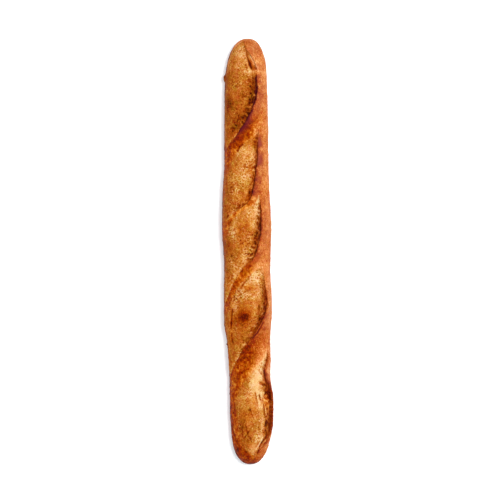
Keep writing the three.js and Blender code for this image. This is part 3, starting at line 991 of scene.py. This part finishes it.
# the same, for how much of the crust's redder tints the crumb took
TOASTED = [
    (6, 252, 6, 11, 22, 1.0),
    (1, 155, 8, 12, -20, 0.7),
    (6.5, 100, 3, 18, 12, 0.7),
    (-4, 30, 12, 20, 0, 0.35),
    (2, -48, 12, 3, -10, 0.3),
    (0, -50, 10, 4, -5, 0.5),
    (-5, -90, 11, 12, 0, 0.7),
    (-22, -100, 3, 26, 0, 0.8),
    (8, -202, 5, 12, 0, 0.6),
    (27, -204, 6, 16, 0, 1.0),
    (0, -225, 9, 14, 0, 0.35),
    (8, -266, 8, 8, 0, 0.5),
]
# the same, for how much of the strips' vivid orange a place took
VIVID = [
    (10, 172, 7, 14, -30, 0.6),
    (1, 155, 8, 12, -20, 0.5),
    (-6, 57, 5, 24, -47, 0.8),
    (8, -202, 5, 12, 0, 0.6),
    (26, -203, 7, 16, 0, 1.0),
]
# the same, for how pink the crust turned
PINK = [
    (8, 274, 9, 11, 0, 0.9),
    (17, 206, 4, 18, -8, 0.6),
    (15.5, 125, 4, 30, 0, 0.5),
    (21, -160, 4, 14, 0, 0.3),
]
print(len(CRUST_PATCHES), "patches on the crust")

# %% How brown the crust is
strip = smooth_step(14 - SECTION_X + 5 * wander, 0, 14) * smooth_step(185 - Y, 0, 25)
strip *= smooth_step(np.cos(ANGLE), -0.6, 0.1)
strip = np.clip(strip + patches(VIVID), 0, 1)  # old crust between the cuts
# The ends are darker towards their left, away from the lamp: painted shade, with browner crust at the
# -Y tip.
tip_shade_and_brown = smooth_step(-Y - SECTION_X * 0.6, 250, 284)
tip_edge = smooth_step(-Y - SECTION_X * 0.5, 266, 288)
far_end = smooth_step(Y - 0.6 * SECTION_X, 276, 292)
crust_bake = 0.28 + 0.2 * np.maximum(strip, tip_shade_and_brown) + 0.12 * darker * strip + 0.24 * tip_edge
crust_bake += 0.1 * far_end + patches(CRUST_PATCHES) - 0.16 * paler
crust_bake += 0.1 * wander + 0.05 * side_bump + 0.18 * reddened
crust_bake += 0.17 * strip * (noise(SKIN, 3.4, 47) + 0.8 * noise(SKIN, 2.2, 48))
print("crust bake, mean:", round(float(crust_bake.mean()), 3))

# %% How brown the crumb is, and the crust that stretched beside it
patchy = patches(BLOOM_PATCHES)
crumb_bake = 0.41 + patchy + 0.1 * wander
# The crumb is paler where its relief stands up, on walls and ribs, and browner where it lies deep, in
# holes, pits and the groove: painted light and shade over the crumb's own tone.
crumb_bake += rough * (-0.16 * web - 0.12 * fine_web) - 0.1 * on_left * streaks
crumb_bake += torn * (0.05 - ribs) + 0.42 * holed * holes + 0.08 * deep + 0.35 * pits
gold_bake = 0.46 + patchy + 0.12 * wander
print("crumb bake, mean:", round(float(crumb_bake.mean()), 3))

# %% The bake mask
# The left flank, which faces away from the lamp, is made darker: painted shade, with some browner
# crust.
left_shade_and_brown = smooth_step(-DEGREES, 66, 86) * smooth_step(DEGREES, -150, -110)
bake = crumb_bake * bloom + gold_bake * (golden - bloom) + crust_bake * (1 - golden)
bake += marks_brown_and_shade + 0.28 * left_shade_and_brown - 0.3 * cream * (0.7 + 0.6 * flicker)
# Seared lips and the slit's painted shade take their own bake, with painted shade in the torn holes;
# strands that span a slit keep their colour.
seared_bake = sear_bake + 0.15 * burnt + 0.15 * flicker + 0.12 * holed * holes
seared_and_slit_shade = seared_and_slit_shade * (1 - 0.8 * spanning)
bake = np.clip(bake * (1 - seared_and_slit_shade) + seared_bake * seared_and_slit_shade, 0, 1)
print("bake from", round(float(bake.min()), 2), "to", round(float(bake.max()), 2))

# %% The masks that the material reads
BLUSH_SHARE = 0.35  # how far a full blush turns crust to its own colour
toast = layered_noise(SKIN, 10, 39)  # where the crumb took on the redder tints of crust
golden = golden * np.clip(0.78 + 0.35 * toast - patches(TOASTED), 0, 1) * (1 - 0.8 * seared_and_slit_shade)
golden = golden * (1 - 0.85 * toasted)
net = rough * (1 - 0.8 * seared_and_slit_shade) * (0.75 + 0.35 * layered_noise(SKIN, 9, 54, 2))
net *= 1 + 0.5 * smooth_step(100 - Y, 0, 60)
masks = {
    "bloom": bloom,  # matt crumb
    "golden": golden,  # the crumb's tints, not the crust's
    "bake": bake,  # how brown
    "strip": strip,  # the strips' tints, not the plain crust's
    "net": net,  # how much the walls between the crumb's cells show
    "blush": BLUSH_SHARE * (reddened * (1 - 0.8 * strip) + patches(PINK)),
    "burnt": burnt,
    "under": smooth_step(4.4 - points[..., 2] + 3 * wander, 0, 6) * (np.cos(ANGLE) < 0),
}
loaf = make_piece(
    "loaf_skin",
    np.concatenate([points.reshape(-1, 3), tips]),
    skin_faces(*ANGLE.shape),
    {name: with_tips(mask) for name, mask in masks.items()},
)
print(loaf.name, len(loaf.data.vertices), "points")

# %% [markdown]
# ## Baked crust
#
# The whole skin is one substance, wheat dough, finished in several ways by the oven. A material per
# finish would give hard borders, so there is one material, and the masks blend its finishes. The
# crust was steamed, then dried: it is dull with a faint warm shine. The crumb is matt. What the eye
# reads as bread is above all colour that changes every one to eight millimetres: blotches, streaks,
# the net of walls between the crumb's cells, and single browned specks.


# %% Colours and nodes
def linear(hex_colour):
    """sRGB hex to linear: c / 12.92 below 0.04045, else ((c + 0.055) / 1.055)^2.4."""
    channels = [int(hex_colour[i : i + 2], 16) / 255 for i in (1, 3, 5)]
    return [c / 12.92 if c < 0.04045 else ((c + 0.055) / 1.055) ** 2.4 for c in channels] + [1.0]


def add(tree, kind, sockets=None, **settings):
    """Adds one node. Each socket gets a value, or a link from the output given for it."""
    made = tree.nodes.new(kind)
    for name, value in settings.items():
        setattr(made, name, value)
    for key, value in (sockets or {}).items():
        if isinstance(value, bpy.types.NodeSocket):
            tree.links.new(value, made.inputs[key])
        else:
            made.inputs[key].default_value = value
    return made


FACTOR, COLOUR_A, COLOUR_B, MIXED = 0, 6, 7, 2  # sockets of a colour Mix node
print("mid grey in linear light:", round(linear("#808080")[0], 3))

# %% Tints, from pale to nearly burnt
# Bread browns from cream over orange to a red-brown; the stone's side stays paler and less red.
TINT_PLACES = [0.0, 0.2, 0.34, 0.46, 0.7, 1.0]
CRUST_TINTS = ["#f0ae70", "#d8813f", "#c66a2b", "#b24e08", "#8a2b02", "#45100a"]
STRIP_TINTS = ["#f0b060", "#d9862c", "#c4620e", "#ab4602", "#862300", "#420c06"]
CRUMB_TINTS = ["#eccd95", "#d2903f", "#be7326", "#aa5b12", "#7c3003", "#380e04"]
BASE_TINTS = ["#ecc68f", "#dca565", "#c58243", "#a8642c", "#80461d", "#5a2f13"]
BLUSH = "#9c4638"
# BURNT is also the colour of the painted shade deep in the slits.
BURNT = "#5c1420"
print(len(TINT_PLACES), "tints in each row")

# %% Wheat crust, oven-baked
wheat_crust = bpy.data.materials.new("wheat_crust_oven_baked")
wheat_crust.use_nodes = True
tree = wheat_crust.node_tree
shader = tree.nodes["Principled BSDF"]
here = add(tree, "ShaderNodeTexCoord").outputs["Object"]
mask = {name: add(tree, "ShaderNodeAttribute", attribute_name=name).outputs["Fac"] for name in masks}
print(wheat_crust.name, "reads", ", ".join(mask))


# %% Its patterns
WALL_BENDS = 4  # mm, how wide the bends are in the walls between cells
BENT_BY = 3  # mm, how far a bend moves a wall


def mottled(value, size_mm, low, high, stretch=(1, 1, 1), detail=3.0):
    """The value plus noise with lumps of that size, whose usual range goes from low to high."""
    scaled = add(tree, "ShaderNodeMapping", {"Vector": here, "Scale": stretch}).outputs[0]
    sockets = {"Vector": scaled, "Scale": 1 / (size_mm * MM), "Detail": detail, "Roughness": 0.6}
    grain = add(tree, "ShaderNodeTexNoise", sockets).outputs["Fac"]
    spread = {"Value": grain, "From Min": 0.3, "From Max": 0.7, "To Min": low, "To Max": high}
    change = add(tree, "ShaderNodeMapRange", spread, clamp=False).outputs["Result"]
    return add(tree, "ShaderNodeMath", {0: value, 1: change}, operation="ADD").outputs[0]


def cell_walls(size_mm, wall, middle):
    """The given values at the walls between crumb cells and in their middles, with bent walls."""
    sockets = {"Vector": here, "Scale": 1 / (WALL_BENDS * MM), "Detail": 2.0}
    bend = add(tree, "ShaderNodeTexNoise", sockets).outputs["Color"]
    sockets = {0: bend, 1: [BENT_BY * MM] * 3, 2: here}
    bent = add(tree, "ShaderNodeVectorMath", sockets, operation="MULTIPLY_ADD").outputs[0]
    sockets = {"Vector": bent, "Scale": 1 / (size_mm * MM)}
    cells = add(tree, "ShaderNodeTexVoronoi", sockets, feature="DISTANCE_TO_EDGE").outputs["Distance"]
    spread = {"Value": cells, "From Min": 0.03, "From Max": 0.32, "To Min": wall, "To Max": middle}
    return add(tree, "ShaderNodeMapRange", spread).outputs["Result"]


# %% The bake, mottled
crust_value = mottled(mask["bake"], 8, -0.08, 0.08)  # blotches
crust_value = mottled(crust_value, 2.2, -0.11, 0.11, (1, 0.5, 1))  # streaks along the loaf
crust_value = mottled(crust_value, 1.2, -0.22, 0.22, (1, 0.7, 1))  # specks
crumb_value = mottled(mask["bake"], 2.8, -0.1, 0.1)
sockets = {0: cell_walls(3.6, -0.17, 0.17), 1: mask["net"], 2: crumb_value}
crumb_value = add(tree, "ShaderNodeMath", sockets, operation="MULTIPLY_ADD").outputs[0]
crumb_value = mottled(crumb_value, 1.1, -0.28, 0.28)
base_value = mottled(mottled(0.0, 14, 0.2, 0.45), 2.2, -0.16, 0.16)  # patches under the loaf
print("patterns:", len(tree.nodes), "nodes")

# %% The bake, looked up in the tints
tinted = {}
for finish, value, tints in (
    ("crust", crust_value, CRUST_TINTS),
    ("strip", crust_value, STRIP_TINTS),
    ("crumb", crumb_value, CRUMB_TINTS),
    ("base", base_value, BASE_TINTS),
):
    ramp = add(tree, "ShaderNodeValToRGB", {"Fac": value})
    stops = ramp.color_ramp.elements
    for place in TINT_PLACES[1:-1]:
        stops.new(place)
    for stop, place, hex_colour in zip(stops, TINT_PLACES, tints):
        stop.position = place
        stop.color = linear(hex_colour)
    tinted[finish] = ramp.outputs["Color"]
print("tints for", ", ".join(tinted))

# %% One finish over another
sockets = {FACTOR: mask["strip"], COLOUR_A: tinted["crust"], COLOUR_B: tinted["strip"]}
colour = add(tree, "ShaderNodeMix", sockets, data_type="RGBA").outputs[MIXED]
sockets = {"Hue": mottled(0.0, 5, 0.493, 0.508), "Color": colour}  # a hue of 0.5 changes nothing
colour = add(tree, "ShaderNodeHueSaturation", sockets).outputs["Color"]
sockets = {"Hue": mottled(0.0, 5.5, 0.482, 0.516), "Color": tinted["crumb"]}
crumb_colour = add(tree, "ShaderNodeHueSaturation", sockets).outputs["Color"]
for share, over in (
    (mask["golden"], crumb_colour),
    (mask["blush"], linear(BLUSH)),
    (mask["burnt"], linear(BURNT)),
    (mask["under"], tinted["base"]),
):
    sockets = {FACTOR: share, COLOUR_A: colour, COLOUR_B: over}
    colour = add(tree, "ShaderNodeMix", sockets, data_type="RGBA").outputs[MIXED]
tree.links.new(colour, shader.inputs["Base Color"])
print("the base colour comes from", colour.node.name)

# %% Dull crust, matt crumb, and a fine grain on both
sockets = {"Value": mask["bloom"], "To Min": 0.5, "To Max": 0.8}
dullness = add(tree, "ShaderNodeMapRange", sockets).outputs["Result"]
tree.links.new(dullness, shader.inputs["Roughness"])
sockets = {"Height": mottled(0.0, 1.4, 0, 1, detail=4.0), "Distance": 0.5 * MM, "Strength": 1.0}
tree.links.new(add(tree, "ShaderNodeBump", sockets).outputs["Normal"], shader.inputs["Normal"])
shader.inputs["IOR"].default_value = 1.45
shader.inputs["Specular IOR Level"].default_value = 0.05
shader.inputs["Specular Tint"].default_value = linear("#ff9a4d")
print(wheat_crust.name, "has", len(tree.nodes), "nodes")

# %% The skin in place of the solid
loaf.data.materials.append(wheat_crust)
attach(loaf, "root")
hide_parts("loaf")
print(loaf.name, "has the material", wheat_crust.name)

# %% [markdown]
# ## The studio
#
# A white sheet, one large soft light from the right and a bright room, seen from straight above. The
# paper glows a little, as it would with more lamps round it, and that keeps its shadows light.

# %% Floor
SHEET = 6  # metres
bpy.ops.mesh.primitive_plane_add(size=SHEET)
floor = bpy.context.object
floor.name = "floor"
paper = bpy.data.materials.new("white_paper")  # uncoated, so it shows no shine
paper.use_nodes = True
paper_look = {
    "Base Color": linear("#f7f7f7"),
    "Roughness": 0.9,
    "Emission Color": (0.82, 0.94, 1, 1),
    "Emission Strength": 0.3,
}
for socket, value in paper_look.items():
    paper.node_tree.nodes["Principled BSDF"].inputs[socket].default_value = value
floor.data.materials.append(paper)
print(floor.name, "is", SHEET, "m wide")

# %% Light
LAMP_PLACE = (0.42, 0.2, 1.93)  # metres; it is turned to the loaf's middle
LAMP_SIZE = 0.45  # metres
WATTS = 28
lamp_data = bpy.data.lights.new("key", "AREA")
lamp_data.size = LAMP_SIZE
lamp_data.energy = WATTS
lamp = bpy.data.objects.new("key", lamp_data)
bpy.context.scene.collection.objects.link(lamp)
lamp.location = LAMP_PLACE
lamp.rotation_euler = (-lamp.location).to_track_quat("-Z", "Y").to_euler()

world = bpy.data.worlds.new("bright_room")
bpy.context.scene.world = world
world.use_nodes = True
world.node_tree.nodes["Background"].inputs["Color"].default_value = (0.96, 0.985, 1, 1)
world.node_tree.nodes["Background"].inputs["Strength"].default_value = 0.672
print("lamp", round(lamp.location.length, 2), "m from the loaf's middle")

# %% Camera
VIEW_WIDTH = 0.6792  # metres across the view at the height of the loaf's sides
LENS = 105
SENSOR = 36
SIDE_HEIGHT = 0.022
OFF_MIDDLE = (0.0027, 0.0020)  # where it stands over the loaf, in metres from the middle
camera_data = bpy.data.cameras.new("above")
camera_data.lens = LENS
camera_data.sensor_width = SENSOR
camera = bpy.data.objects.new("above", camera_data)
bpy.context.scene.collection.objects.link(camera)
camera.location = (*OFF_MIDDLE, SIDE_HEIGHT + VIEW_WIDTH * LENS / SENSOR)
bpy.context.scene.camera = camera
bpy.context.scene.view_settings.view_transform = "Standard"
print("camera", round(camera.location.z, 2), "m above the floor")
